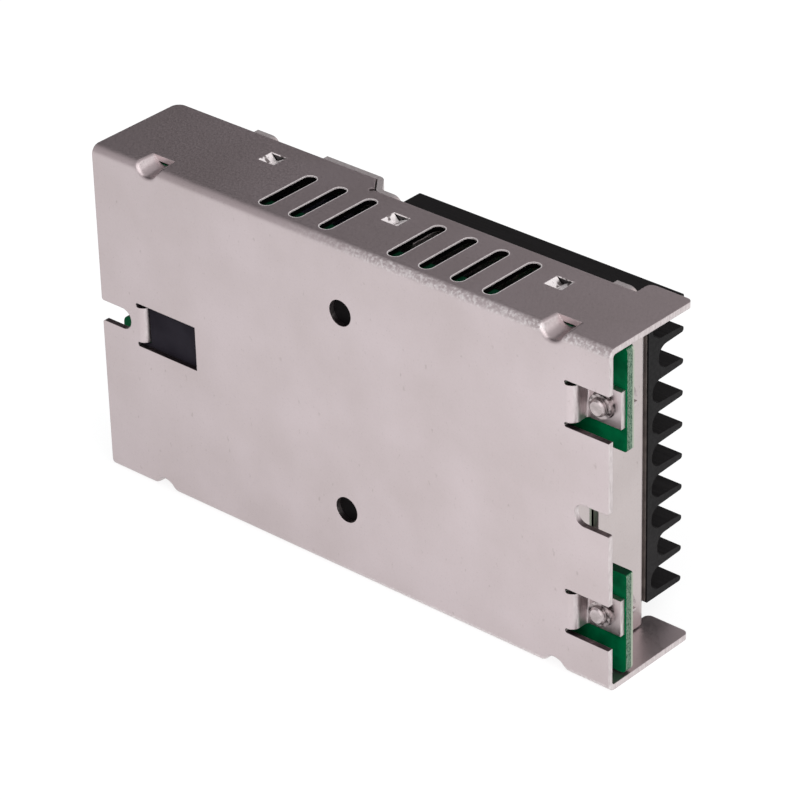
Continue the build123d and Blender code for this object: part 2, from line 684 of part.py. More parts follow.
def line_choke_base():
    """Moulded plate whose rib holds the ring core clear, so that its turns pass below."""
    shape = area((RING_X - RING_OUT, RING_X + RING_OUT), (MID_Z - RING_OUT, MID_Z + RING_OUT), RING_BASE_R)
    top = BOARD_BACK + RING_BASE
    rib = area((RING_X - RING_RIB, RING_X + RING_RIB), (MID_Z - RING_OUT, MID_Z + RING_OUT))
    return plate(shape, (BOARD_BACK, top)) + plate(rib, (top, top + RING_STAND))


def output_choke():
    """Square moulded choke with its corners and upper edges broken."""
    half = CHOKE_SIZE / 2
    shape = area((CHOKE_X - half, CHOKE_X + half), (MID_Z - half, MID_Z + half))
    shape = chamfer(shape.vertices(), CHOKE_CORNER)
    body = plate(shape, (BOARD_BACK, BOARD_BACK + CHOKE_H))
    return chamfer(body.edges().group_by(Axis.Y)[-1], CHOKE_EDGE)


def chip_capacitor(x):
    """Ceramic body of a chip capacitor."""
    across = (x - CHIP_W / 2, x + CHIP_W / 2)
    half = CHIP_LEN / 2 - CHIP_END
    return block(across, (BOARD_BACK, BOARD_BACK + CHIP_H), (CHIP_Z - half, CHIP_Z + half))


def chip_ends(x):
    """Metal end caps of a chip capacitor."""
    across = (x - CHIP_W / 2, x + CHIP_W / 2)
    high = (BOARD_BACK, BOARD_BACK + CHIP_H)
    ends = (CHIP_Z - CHIP_LEN / 2, CHIP_Z + CHIP_LEN / 2 - CHIP_END)
    return [block(across, high, (end, end + CHIP_END)) for end in ends]


def control_chip(x, z):
    """Moulded body of a control circuit."""
    body = block((x - IC_W / 2, x + IC_W / 2), (BOARD_BACK + IC_STAND, BOARD_BACK + IC_H),
                 (z - IC_LEN / 2, z + IC_LEN / 2))
    return chamfer(body.edges().group_by(Axis.Y)[-1], IC_CHAMFER)


def control_leads(x, z):
    """Gull leads on both long sides of a control circuit."""
    level = BOARD_BACK + IC_H / 2
    leads = []
    for side in (-1, 1):
        edge = x + side * IC_W / 2
        knee, toe = edge + side * IC_PIN_REACH / 2, edge + side * IC_PIN_REACH
        inner = knee - side * IC_PIN_T
        foot, under = BOARD_BACK + IC_PIN_T, level - IC_PIN_T
        section = outline((edge, level), (knee, level), (knee, foot), (toe, foot),
                          (toe, BOARD_BACK), (inner, BOARD_BACK), (inner, under), (edge, under))
        for index in range(IC_PINS):
            place = z + (index - (IC_PINS - 1) / 2) * IC_PIN_PITCH - IC_PIN_W / 2
            leads.append(Pos(0, 0, place) * extrude(section, IC_PIN_W))
    return leads


def terminal_housing(z0, poles):
    """Moulded block with a screw well and a wire entry for each pole."""
    low, high = BLOCK_X
    shoulder = BOARD_BACK + BLOCK_SHOULDER
    section = outline((low, BOARD_BACK), (high, BOARD_BACK), (high, BLOCK_TOP, BLOCK_ROUND),
                      (low + BLOCK_SLOPE, BLOCK_TOP, BLOCK_ROUND), (low, shoulder))
    entry = (low - SHEET, low + ENTRY_DEPTH)
    cuts = []
    for z in poles:
        cuts.append(along_y(WELL_X, (WELL_SEAT, BLOCK_TOP + SHEET), z, WELL_R))
        cuts.append(block(entry, (ENTRY_LOW, ENTRY_TOP), (z - ENTRY_W / 2, z + ENTRY_W / 2)))
        cuts.append(along_y(WELL_X, (ENTRY_TOP - GAP, WELL_SEAT + GAP), z, CLAMP_CLEAR_R))
    return Pos(0, 0, z0) * extrude(section, BLOCK_LEN) - cuts


def clamp_cage(z):
    """Metal wire cage inside a wire entry."""
    half = CAGE_W / 2
    clear = half - CAGE_WALL
    x = (WELL_X - half, WELL_X + half)
    cage = block(x, (ENTRY_LOW, ENTRY_TOP), (z - half, z + half))
    inside = (ENTRY_LOW + CAGE_WALL, ENTRY_TOP - CAGE_WALL)
    opening = block((x[0] - SHEET, x[1] + SHEET), inside, (z - clear, z + clear))
    return cage - opening


def terminal_screw(z):
    """Slotted screw standing in its well, its shank down to the cage."""
    top = WELL_SEAT + CLAMP_HEAD_H
    head = along_y(WELL_X, (WELL_SEAT, top), z, CLAMP_HEAD_R)
    across = (WELL_X - WELL_R, WELL_X + WELL_R)
    slot = block(across, (top - DRIVE_DEPTH, top + SHEET), (z - DRIVE_W / 2, z + DRIVE_W / 2))
    return head + along_y(WELL_X, (ENTRY_TOP, WELL_SEAT), z, CLAMP_SHANK_R) - slot


ALL_POLES = [z for poles in POLE_Z for z in poles]

save("chassis", chassis())
save("cover_plate", cover())
save("heatsink", heatsink())
save("thermal_pad", thermal_pad())
save("circuit_board", circuit_board())
save("insulating_film", insulating_film())
save("board_screws", *board_screws())
save("clamp_screws", *clamp_screws())
save("power_devices", *[power_device(x, z) for x, z in DEVICE_SPOTS])
save("power_device_leads", *[lead for x, z in DEVICE_SPOTS for lead in device_leads(x, z)])
save("transformer_core", transformer_core())
save("transformer_coil", transformer_coil())
save("electrolytic_capacitors", *[capacitor(x, z) for x, z in CAP_SPOTS])
save("line_choke_core", line_choke_core())
save("line_choke_base", line_choke_base())
save("output_choke", output_choke())
save("chip_capacitors", *[chip_capacitor(x) for x in CHIP_X])
save("chip_capacitor_ends", *[end for x in CHIP_X for end in chip_ends(x)])
save("control_chips", *[control_chip(x, z) for x, z in IC_SPOTS])
save("control_chip_leads", *[lead for x, z in IC_SPOTS for lead in control_leads(x, z)])
save("input_terminal_block", terminal_housing(BLOCK_Z[0], POLE_Z[0]))
save("output_terminal_block", terminal_housing(BLOCK_Z[1], POLE_Z[1]))
save("terminal_cages", *[clamp_cage(z) for z in ALL_POLES])
save("terminal_screws", *[terminal_screw(z) for z in ALL_POLES])
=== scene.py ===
import bmesh
import bpy
from math import copysign, cos, pi, sin
from mathutils import Matrix, Vector


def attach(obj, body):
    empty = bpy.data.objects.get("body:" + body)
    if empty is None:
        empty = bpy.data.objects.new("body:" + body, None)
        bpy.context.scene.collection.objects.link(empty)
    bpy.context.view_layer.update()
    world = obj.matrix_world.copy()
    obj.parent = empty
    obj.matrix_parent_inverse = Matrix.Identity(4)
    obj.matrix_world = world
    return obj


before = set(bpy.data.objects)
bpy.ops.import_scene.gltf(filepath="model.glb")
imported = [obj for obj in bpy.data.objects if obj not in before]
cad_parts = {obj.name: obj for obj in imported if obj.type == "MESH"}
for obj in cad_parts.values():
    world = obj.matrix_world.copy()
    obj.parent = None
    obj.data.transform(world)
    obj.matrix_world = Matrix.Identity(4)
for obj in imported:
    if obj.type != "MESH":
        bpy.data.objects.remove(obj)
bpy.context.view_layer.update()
MM = 0.001

# Camera, solved from the photograph's straight edges
CAMERA_PLACE = (0.37706947, -0.4159232, 0.35314571)
CAMERA_RIGHT = (0.7499094, 0.66111218, -0.02380286)
CAMERA_UP = (-0.31735444, 0.39108429, 0.86390928)
CAMERA_BACK = (0.58044987, -0.64029974, 0.50308467)
CAMERA_LENS = 183.75395507
SENSOR_WIDTH = 36
CLIP_NEAR = 0.01
CLIP_FAR = 20

# Studio sky, white at the horizon and darker towards one side above it
SKY_DARK_SIDE = (-0.905, 0.302, 0.302)
SKY_SHADE = (0.77, 0.88)
SKY_HORIZON = (0.02, 0.14)
SKY_DARK = (0.03, 0.027, 0.03, 1)
SKY_HIGH = (0.53, 0.505, 0.515, 1)
SKY_WHITE = (1.0, 1.0, 1.0, 1)
SKY_FILL = (0.62, 0.62, 0.63, 1)

# Lamps: name, place, size and power
LAMPS = (
    ("key", (0.7, -1.0, 1.1), 2.0, 13),
    ("side", (1.1, -0.1, 0.8), 1.4, 4),
    ("rim", (0.8, 1.05, 0.95), 1.2, 2),
)
LAMP_AIM = (0, 0, 0.03)

# Floor, with its glow in reflections as (from place, to place, from strength, to strength)
FLOOR_SIZE = 6.0
FLOOR_SEEN = 0.82
FLOOR_MATT = (0.8, 0.8, 0.8, 1)
FLOOR_FAINT = (0.25, 0.25, 0.25, 1)
GLOW_ALONG = (-0.14, 0.03, 0.70, 0.92)
GLOW_NEAR = (-0.05, -0.014, 1.0, 0.82)

# Noise: no stretch, its detail, and the part of its range over which a patch or a grain turns
EVEN = (1, 1, 1)
PLAIN_DETAIL = 3.0
GRAIN_DETAIL = 4.0
PATCH_TURN = (0.35, 0.65)
GRAIN_TURN = (0.3, 0.7)

# Rounding of the sheet's edges in millimetres
EDGE_ROUND = 0.18
EDGE_SAMPLES = 4

# Specks of the plating and grain of the rubbed bends: size in mm, range of the noise and its strength
SPECK_MM = 0.9
SPECK_DETAIL = 2.0
SPECK_STRETCH = (1, 1, 0.6)
SPECK_TURN = (0.70, 0.78, 0, 0.4)
FINE_SPECK_MM = 0.35
FINE_SPECK_TURN = (0.62, 0.78, 0, 0.35)
WEAR_MM = 0.45
WEAR_TURN = (0.42, 0.62, 0.1, 0.9)

# The sRGB curve, straight up to a limit and a power above it
BRIGHTEST = 255
SRGB_LIMIT = 0.04045
SRGB_SLOPE = 12.92
SRGB_SHIFT = 0.055
SRGB_POWER = 2.4

# How squarely a surface faces an axis, from where a mask starts to where it is full
FACING = (0.6, 0.9)
FACING_UPRIGHT = (0.3, 0.6)
FACING_FLAT = (0.97, 0.99)
FACING_FLANK = (0.9, 0.97)
FACING_CUT = (0.5, 0.8)

# Marks on the case in millimetres: from its middle along and across it, and away from mid height
MID_Z = 30.0
AREA_BLUR = 0.05
RIM = 0.25
RIM_BLUR = 0.03
VENTS = ((-19.3, -4.0, -11.2, 1.4), (7.5, 29.3, -11.2, 1.4))
VENT_FIRST = (-17.95, 8.85)
VENT_PITCH = 6.35
VENT_R = 1.2
VENT_MID = -4.9
VENT_HALF = 4.95
VENT_LINE = 0.1
VENT_LINE_BLUR = 0.08
VENT_MARGIN = 0.2
LANCES = ((-29.2, -25.5, -0.1, 3.4), (-0.2, 3.5, -3.4, 0.2), (32.5, 36.2, -3.4, 0.2))
WALL_DEPTH = 1.3
SLOPE_AWAY = (MID_Z - 1.6, MID_Z - 1.4)
# Outside of the bends: where the mark lies, and the stretch along the case over which its painted highlight
# grows towards the right end
SHEEN_AND_WEAR_AWAY = (MID_Z - 1.5, MID_Z - 0.9)
SHEEN_AND_WEAR_ACROSS = (-11.9, -12.5)
SHEEN_ALONG = (-15.0, 10.0)
BASE_ACROSS = (-12.3, -12.2)
BASE_AWAY = (MID_Z - 2.0, MID_Z - 1.8)
COLLARS = (49.55, 18.3)
COLLAR_RING = (1.4, 2.2)
COLLAR_BLUR = 0.15
HOLE_AWAY = 17.85
HOLE_SHADE = (4.5, 6.5)
BOARD_LINE = (-7.75, -7.6)
PALE_LAMINATE = (176, 184, 168)

# Middle of the case, from its corner
CASE_MID = (53.25, 13.25)

# Line choke, measured from the case's corner
RING_X = 29.8
RING_Z = 30.0
RING_OUT = 9.0
RING_IN = 4.6
RING_BASE_TOP = 7.35
RING_LOW = 8.35
RING_HIGH = 15.35
RING_PIN = 7.5
WIRE_D = 0.85
WIRE_CLEAR = 0.02
WIRE_FOOT = 3.5
WIRE_SIDES = 10
TURNS = 10
TURN_STEPS = 24
WIND_SPAN = 2.27
ROUNDNESS = 0.45

# Screw threads
BOARD_SCREWS = ((13.5, 30.0), (102.8, 11.7), (102.8, 48.3))
THREAD_SPAN = (1.75, 5.7)
THREAD_PITCH = 0.5
THREAD_R = 1.42
THREAD_RIDGE = 0.07
THREAD_STEPS = 28
THREAD_SIDES = 6

# Solder joints: radius and height along a pin, and where the pins of the parts are
BOARD_FRONT = 4.35
SOLDER_PROFILE = ((1.0, 0), (0.75, -0.16), (0.52, -0.45), (0.38, -0.85), (0.36, -1.2), (0.24, -1.32),
                  (0.05, -1.36))
SOLDER_SIDES = 14
POLE_X = 7.6
POLE_Z = (6.11, 13.73, 21.35, 38.65, 46.27, 53.89)
CAP_X = (23.4, 36.2)
CAP_Z = (9.4, 50.6)
CAP_PINS = (-2.5, 2.5)
DEVICE_X = (68.95, 78.85)
DEVICE_Z = (13.57, 47.23)
DEVICE_PINS = (-2.54, 0, 2.54)
COIL_X = 73.9
COIL_Z = 30
COIL_ROWS = (-7, 7)
COIL_PINS = (-6, -2, 2, 6)


def tone(colour):
    """Colour from 0 to 255 as the linear colour that a shader takes."""
    def linear(value):
        part = value / BRIGHTEST
        if part <= SRGB_LIMIT:
            return part / SRGB_SLOPE
        return ((part + SRGB_SHIFT) / (1 + SRGB_SHIFT)) ** SRGB_POWER
    return tuple(linear(value) for value in colour) + (1,)


def add(tree, kind, inputs=None, **settings):
    """New shader node with its settings, and its inputs linked or set."""
    made = tree.nodes.new(kind)
    for key, value in settings.items():
        setattr(made, key, value)
    for key, value in (inputs or {}).items():
        join(tree, made.inputs[key], value)
    return made


def join(tree, socket, value):
    """Links a socket to another, or sets its value."""
    if isinstance(value, bpy.types.NodeSocket):
        tree.links.new(value, socket)
    else:
        socket.default_value = value


def mixed(tree, factor, low, high):
    """Colour between two others."""
    made = add(tree, "ShaderNodeMix", data_type="RGBA")
    values = {"Factor_Float": factor, "A_Color": low, "B_Color": high}
    for socket in made.inputs:
        if socket.identifier in values:
            join(tree, socket, values[socket.identifier])
    return next(out for out in made.outputs if out.identifier == "Result_Color")


def ranged(tree, value, start, end, to_start=0, to_end=1):
    """Value stretched from one range to another."""
    made = add(tree, "ShaderNodeMapRange", {"Value": value, "From Min": start, "From Max": end,
                                            "To Min": to_start, "To Max": to_end})
    return made.outputs["Result"]


def calc(tree, operation, first, second=0):
    """Result of a sum on one or two values."""
    return add(tree, "ShaderNodeMath", {0: first, 1: second}, operation=operation).outputs[0]


def product(tree, *values):
    """All of the values multiplied."""
    total = values[0]
    for value in values[1:]:
        total = calc(tree, "MULTIPLY", total, value)
    return total


def between(tree, factor, low, high):
    """Value between two others."""
    span = calc(tree, "SUBTRACT", high, low)
    return calc(tree, "ADD", low, product(tree, factor, span))


def reach(tree, along, across):
    """Distance from nought of a point with these two coordinates."""
    squares = calc(tree, "ADD", product(tree, along, along), product(tree, across, across))
    return calc(tree, "SQRT", squares)


def within(tree, value, low, high, blur):
    """One between two limits of a value, nought outside them."""
    return product(tree, ranged(tree, value, low - blur, low), ranged(tree, value, high, high + blur, 1, 0))


def object_place(tree):
    """Place on the object, in metres."""
    return add(tree, "ShaderNodeTexCoord").outputs["Object"]


def case_place(tree):
    """Place along and across the case and its distance from mid height, in millimetres."""
    place = add(tree, "ShaderNodeVectorMath", {0: object_place(tree), "Scale": 1 / MM}, operation="SCALE")
    split = add(tree, "ShaderNodeSeparateXYZ", {"Vector": place.outputs[0]})
    away = calc(tree, "ABSOLUTE", calc(tree, "SUBTRACT", split.outputs["Z"], MID_Z))
    return split.outputs["X"], split.outputs["Y"], away


def noise(tree, size_mm, detail=PLAIN_DETAIL, stretch=EVEN):
    """Noise with features of about this size, stretched along the axes."""
    scaled = add(tree, "ShaderNodeMapping", {"Vector": object_place(tree), "Scale": stretch})
    inputs = {"Vector": scaled.outputs["Vector"], "Scale": 1 / (size_mm * MM), "Detail": detail}
    return add(tree, "ShaderNodeTexNoise", inputs).outputs["Fac"]


def surface(slot, light, dark, patch_mm, grain_mm, rough, bump_mm, stretch=EVEN, rim_mm=0, **sockets):
    """Material with patches of two tones, a grain in its roughness and a bump of the same grain."""
    made = bpy.data.materials.new(f"{slot}_finish")
    made.use_nodes = True
    tree = made.node_tree
    shader = tree.nodes["Principled BSDF"]
    patch = ranged(tree, noise(tree, patch_mm), *PATCH_TURN)
    grain = noise(tree, grain_mm, GRAIN_DETAIL, stretch)
    tree.links.new(mixed(tree, patch, tone(dark), tone(light)), shader.inputs["Base Color"])
    tree.links.new(ranged(tree, grain, *GRAIN_TURN, *rough), shader.inputs["Roughness"])
    bump = add(tree, "ShaderNodeBump", {"Height": grain, "Distance": bump_mm * MM, "Strength": 1.0})
    if rim_mm:
        rim = add(tree, "ShaderNodeBevel", {"Radius": rim_mm * MM}, samples=EDGE_SAMPLES)
        tree.links.new(rim.outputs["Normal"], bump.inputs["Normal"])
    tree.links.new(bump.outputs["Normal"], shader.inputs["Normal"])
    for key, value in sockets.items():
        shader.inputs[key.replace("_", " ")].default_value = value
    return made


def mottle(size_mm, dark, light, detail=PLAIN_DETAIL, stretch=EVEN, turn=None):
    """Colour that noise mixes from two tones, more sharply where its turning range is given."""
    def colour(tree):
        factor = noise(tree, size_mm, detail, stretch)
        if turn:
            factor = ranged(tree, factor, *turn)
        return mixed(tree, factor, tone(dark), tone(light))
    return colour


def layer(made, mask_of, colour_of, metallic=None):
    """Lays a colour over a material where a mask says, less metallic there if that is given."""
    tree = made.node_tree
    shader = tree.nodes["Principled BSDF"]
    base = shader.inputs["Base Color"]
    metal = shader.inputs["Metallic"]
    mask = mask_of(tree)
    tree.links.new(mixed(tree, mask, base.links[0].from_socket, colour_of(tree)), base)
    if metallic is not None:
        under = metal.links[0].from_socket if metal.links else metal.default_value
        tree.links.new(between(tree, mask, under, metallic), metal)


def facing(tree, axis, limits=FACING):
    """One where the surface faces along this axis, nought elsewhere."""
    normal = add(tree, "ShaderNodeTexCoord").outputs["Normal"]
    split = add(tree, "ShaderNodeSeparateXYZ", {"Vector": normal})
    return ranged(tree, calc(tree, "ABSOLUTE", split.outputs[axis]), *limits)


def upright(tree):
    """One on walls square to the flanges, nought on the flanges themselves."""
    return calc(tree, "SUBTRACT", 1, facing(tree, "Z", FACING_UPRIGHT))


def cut_end(tree):
    """Cut edges at the two ends."""
    return facing(tree, "X")


def flank_shade(tree):
    """Cut edges along the two long sides, which take painted shade."""
    return facing(tree, "Z")


def cover_flank(tree):
    """Sheared edges of the cover along its two sides."""
    return facing(tree, "Z", FACING_FLANK)


def fin_side_shade(tree):
    """All of the extrusion but its two cut ends, where painted shade darkens the fins and the valleys between
    them.
    """
    return calc(tree, "SUBTRACT", 1, facing(tree, "X"))


def in_areas(tree, along, across, areas):
    """One inside any of some rectangles on the flanges."""
    total = 0
    for left, right, front, back in areas:
        area = product(tree, within(tree, along, left, right, AREA_BLUR),
                       within(tree, across, front, back, AREA_BLUR))
        total = calc(tree, "MAXIMUM", total, area)
    return total


def speck(tree):
    """Small scattered marks on plating."""
    small = ranged(tree, noise(tree, SPECK_MM, SPECK_DETAIL, SPECK_STRETCH), *SPECK_TURN)
    fine = ranged(tree, noise(tree, FINE_SPECK_MM), *FINE_SPECK_TURN)
    return calc(tree, "MAXIMUM", small, fine)


def bend_sheen_and_wear(tree):
    """Outside of the bends: a painted highlight that grows towards the right end, with a rubbed grain in it.
    """
    along, across, away = case_place(tree)
    grain = ranged(tree, noise(tree, WEAR_MM, GRAIN_DETAIL), *WEAR_TURN)
    return product(tree, ranged(tree, away, *SHEEN_AND_WEAR_AWAY), ranged(tree, across, *SHEEN_AND_WEAR_ACROSS),
                   ranged(tree, along, *SHEEN_ALONG), grain)


def pressed_slope(tree):
    """Slopes of the lances."""
    along, across, away = case_place(tree)
    slope = calc(tree, "SUBTRACT", 1, facing(tree, "Z", FACING_FLAT))
    return product(tree, in_areas(tree, along, across, LANCES), ranged(tree, away, *SLOPE_AWAY), slope)


def vent_highlight_line(tree):
    """Painted highlight: a thin bright line on the sheet round each vent, along the edge that the punch drew
    down.
    """
    along, across, away = case_place(tree)
    past = calc(tree, "SUBTRACT", calc(tree, "ABSOLUTE", calc(tree, "SUBTRACT", across, VENT_MID)), VENT_HALF)
    past = calc(tree, "MAXIMUM", past)
    lines = 0
    for first, area in zip(VENT_FIRST, VENTS):
        step = calc(tree, "FLOORED_MODULO", calc(tree, "ADD", along, VENT_PITCH / 2 - first), VENT_PITCH)
        far = reach(tree, calc(tree, "SUBTRACT", step, VENT_PITCH / 2), past)
        ring = within(tree, far, VENT_R, VENT_R + VENT_LINE, VENT_LINE_BLUR)
        group = within(tree, along, area[0] - VENT_MARGIN, area[1] + VENT_MARGIN, AREA_BLUR)
        lines = calc(tree, "MAXIMUM", lines, product(tree, ring, group))
    return product(tree, lines, ranged(tree, away, MID_Z - RIM, MID_Z - RIM / 2))


def punched_wall_shade(tree):
    """Painted shade, near black, on the walls of the vents and of the lances' pockets below their rims, which
    the light hardly reaches.
    """
    along, across, away = case_place(tree)
    sheet = within(tree, away, MID_Z - WALL_DEPTH, MID_Z - RIM, RIM_BLUR)
    return product(tree, in_areas(tree, along, across, VENTS + LANCES), sheet, upright(tree))


def vent_rim_highlight(tree):
    """Painted highlight on the upper ends of the vents' walls, where their rounded edges catch the light."""
    along, across, away = case_place(tree)
    top = ranged(tree, away, MID_Z - RIM, MID_Z - RIM + RIM_BLUR)
    return product(tree, in_areas(tree, along, across, VENTS), top, upright(tree))


def base_cut_shade(tree):
    """Painted shade on the upper and lower walls of the openings in the base."""
    _, across, away = case_place(tree)
    return product(tree, ranged(tree, across, *BASE_ACROSS, 1, 0), ranged(tree, away, *BASE_AWAY, 1, 0),
                   facing(tree, "Z", FACING_CUT))


def collar_shade_ring(tree):
    """Painted shade in rings on the drawn collars round the screws of the right end."""
    along, _, away = case_place(tree)
    far = reach(tree, calc(tree, "SUBTRACT", along, COLLARS[0]), calc(tree, "SUBTRACT", away, COLLARS[1]))
    return within(tree, far, *COLLAR_RING, COLLAR_BLUR)


def shade_behind_hole(tree):
    """Painted shade in round places on the film behind the two mounting holes."""
    along, _, away = case_place(tree)
    far = reach(tree, along, calc(tree, "SUBTRACT", away, HOLE_AWAY))
    return ranged(tree, far, *HOLE_SHADE, 1, 0)


def laminate(tree):
    """Green of the cut laminate with a paler line at its rear side."""
    _, across, _ = case_place(tree)
    return mixed(tree, ranged(tree, across, *BOARD_LINE), CUT_LAMINATE(tree), tone(PALE_LAMINATE))


# Mottled colours of the layers: size in mm, dark tone, light tone
DULL_METAL = mottle(2.0, (150, 138, 138), (176, 164, 160))
# Pale sheared metal of the cut edges, also used for the painted highlight on the vents' rims
SHEARED_AND_HIGHLIGHT_METAL = mottle(0.35, (178, 166, 167), (242, 234, 234), 2.0, (1, 1, 0.25))
# Bright metal for the painted highlight round the vents and on the bends, with the bends' rubbed grain
RUBBED_AND_HIGHLIGHT_METAL = mottle(0.3, (206, 198, 198), (255, 250, 250))
BARE_METAL = mottle(1.1, (112, 104, 104), (240, 234, 234), 1.0, turn=(0.38, 0.47))
# Painted shade, near black, for the walls of the vents and of the lances' pockets
HOLLOW_SHADE_BLACK = mottle(0.5, (14, 13, 14), (58, 54, 55))
# Painted shade for the upper and lower walls of the openings in the base
SHADED_METAL = mottle(0.5, (62, 54, 56), (142, 130, 132), stretch=(1, 0.3, 1))
# Painted shade, dark and patchy, on the collars round the screws
COLLAR_SHADE_METAL = mottle(0.8, (52, 44, 45), (196, 186, 186), turn=(0.38, 0.6))
WORN_METAL = mottle(0.5, (122, 115, 116), (176, 168, 168))
# Painted shade, near black, for the heat sink's fins and for the film behind the holes
PAINTED_SHADE_BLACK = mottle(1.0, (11, 10, 11), (22, 20, 21))
CUT_LAMINATE = mottle(0.3, (38, 74, 54), (136, 158, 140), 5.0, (1, 3, 1), PATCH_TURN)
# Painted shade, dark green, on the board's long cut edges
SHADED_BOARD_GREEN = mottle(0.6, (4, 34, 22), (14, 58, 38))

# Finishes by slot, and the wire's own one last: light tone, dark tone, patches and grain in mm, roughness,
# bump in mm, and what else it has
PLATING = {"patch_mm": 14, "grain_mm": 0.4, "rough": (0.33, 0.45), "bump_mm": 0.006, "rim_mm": EDGE_ROUND,
           "Metallic": 1.0}
FINISH_VALUES = {
    "plated_sheet": ((206, 194, 196), (199, 187, 188), PLATING),
    "plated_cover": ((204, 194, 193), (196, 186, 185), PLATING),
    "black_anodised": ((29, 27, 28), (19, 18, 19), 9, 0.5, (0.5, 0.65), 0.012,
                       {"stretch": (0.05, 1, 1), "Specular_IOR_Level": 0.15}),
    "thermal_pad": ((104, 94, 90), (78, 70, 68), 2, 0.2, (0.7, 0.9), 0.01, {}),
    "green_board": ((0, 114, 68), (0, 88, 52), 3.0, 1.2, (0.4, 0.55), 0.012, {"Specular_IOR_Level": 0.03}),
    "dark_film": ((43, 40, 47), (34, 31, 38), 7, 2.5, (0.35, 0.5), 0.04, {"Specular_IOR_Level": 0.02}),
    "zinc_screw": ((206, 195, 196), (170, 160, 160), 1.5, 0.2, (0.25, 0.4), 0.004, {"Metallic": 1.0}),
    "black_moulding": ((38, 38, 40), (26, 26, 28), 4, 0.15, (0.45, 0.65), 0.01, {}),
    "tinned_lead": ((214, 214, 210), (176, 176, 174), 0.8, 0.15, (0.25, 0.45), 0.006, {"Metallic": 1.0}),
    "ferrite": ((58, 56, 56), (40, 39, 40), 3, 0.25, (0.5, 0.75), 0.02, {}),
    "yellow_tape": ((214, 170, 42), (190, 144, 26), 5, 1.5, (0.2, 0.35), 0.03, {"stretch": (0.2, 1, 1)}),
    "capacitor_sleeve": ((30, 32, 46), (18, 20, 32), 3, 0.4, (0.25, 0.4), 0.008, {}),
    "choke_ring": ((92, 112, 92), (66, 84, 68), 2, 0.4, (0.35, 0.5), 0.015, {}),
    "ceramic_body": ((178, 150, 118), (150, 124, 96), 0.8, 0.12, (0.35, 0.5), 0.006, {}),
    "green_moulding": ((38, 120, 66), (26, 98, 52), 4, 0.2, (0.4, 0.55), 0.012, {}),
    "plated_cage": ((206, 200, 180), (168, 160, 140), 1, 0.2, (0.3, 0.45), 0.006, {"Metallic": 1.0}),
    "copper_wire": ((196, 104, 58), (160, 78, 40), 2, 0.3, (0.22, 0.34), 0.006, {"Metallic": 0.8}),
}

# Layers over a finish from the lowest up: mask, colour and, where that changes, how metallic it is there
LAYERS = {
    "plated_sheet": ((speck, DULL_METAL), (cut_end, SHEARED_AND_HIGHLIGHT_METAL), (bend_sheen_and_wear, RUBBED_AND_HIGHLIGHT_METAL, 0.6),
                     (pressed_slope, BARE_METAL, 0.5), (vent_highlight_line, RUBBED_AND_HIGHLIGHT_METAL, 0.3), (punched_wall_shade, HOLLOW_SHADE_BLACK),
                     (vent_rim_highlight, SHEARED_AND_HIGHLIGHT_METAL, 0.2), (base_cut_shade, SHADED_METAL), (collar_shade_ring, COLLAR_SHADE_METAL)),
    "plated_cover": ((speck, DULL_METAL), (cover_flank, SHEARED_AND_HIGHLIGHT_METAL), (cover_flank, WORN_METAL, 0.15)),
    "black_anodised": ((fin_side_shade, PAINTED_SHADE_BLACK),),
    "green_board": ((cut_end, laminate), (flank_shade, SHADED_BOARD_GREEN)),
    "dark_film": ((shade_behind_hole, PAINTED_SHADE_BLACK),),
}


def make_finish(slot, values):
    """Finish of a slot with its layers."""
    *plain, more = values
    made = surface(slot, *plain, **more)
    for layer_values in LAYERS.get(slot, ()):
        layer(made, *layer_values)
    return made


FINISHES = {slot: make_finish(slot, values) for slot, values in FINISH_VALUES.items()}


def dress_nodes():
    """Gives every CAD node its finish, by the slot that its material is named after."""
    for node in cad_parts.values():
        for place in node.material_slots:
            slot = next(slot for slot in FINISHES if place.material.name.startswith(slot))
            place.material = FINISHES[slot]


def floor_glow(tree):
    """How bright the floor looks in reflections: less to the left and close to the object."""
    place = add(tree, "ShaderNodeSeparateXYZ", {"Vector": object_place(tree)})
    return product(tree, ranged(tree, place.outputs["X"], *GLOW_ALONG),
                   ranged(tree, place.outputs["Y"], *GLOW_NEAR))


def floor_material():
    """White to the camera and bright in reflections, with the object's shadow kept faint."""
    made = bpy.data.materials.new("floor_white")
    made.use_nodes = True
    tree = made.node_tree
    tree.nodes.clear()
    path = add(tree, "ShaderNodeLightPath")
    seen = calc(tree, "MAXIMUM", path.outputs["Is Camera Ray"], path.outputs["Is Glossy Ray"])
    seen = calc(tree, "MAXIMUM", seen, path.outputs["Is Transmission Ray"])
    strength = between(tree, path.outputs["Is Camera Ray"], floor_glow(tree), FLOOR_SEEN)
    matt = add(tree, "ShaderNodeBsdfDiffuse", {"Color": FLOOR_MATT})
    faint = add(tree, "ShaderNodeBsdfDiffuse", {"Color": FLOOR_FAINT})
    glow = add(tree, "ShaderNodeEmission", {"Color": SKY_WHITE, "Strength": strength})
    both = add(tree, "ShaderNodeAddShader", {0: faint.outputs[0], 1: glow.outputs[0]})
    mix = add(tree, "ShaderNodeMixShader", {0: seen, 1: matt.outputs[0], 2: both.outputs[0]})
    add(tree, "ShaderNodeOutputMaterial", {"Surface": mix.outputs[0]})
    return made


def spot(x, y, z):
    """Place in the frame of a point measured in millimetres from the case's corner."""
    return Vector((x - CASE_MID[0], y - CASE_MID[1], z)) * MM


def skin(rings, sides):
    """Faces between rings of corners that follow each other."""
    faces = []
    for ring in range(rings - 1):
        low, high = ring * sides, (ring + 1) * sides
        for side in range(sides):
            after = (side + 1) % sides
            faces.append((low + side, low + after, high + after, high + side))
    return faces


def end_cap(rings, sides):
    """Face over the last ring of corners."""
    last = (rings - 1) * sides
    return tuple(range(last, last + sides))


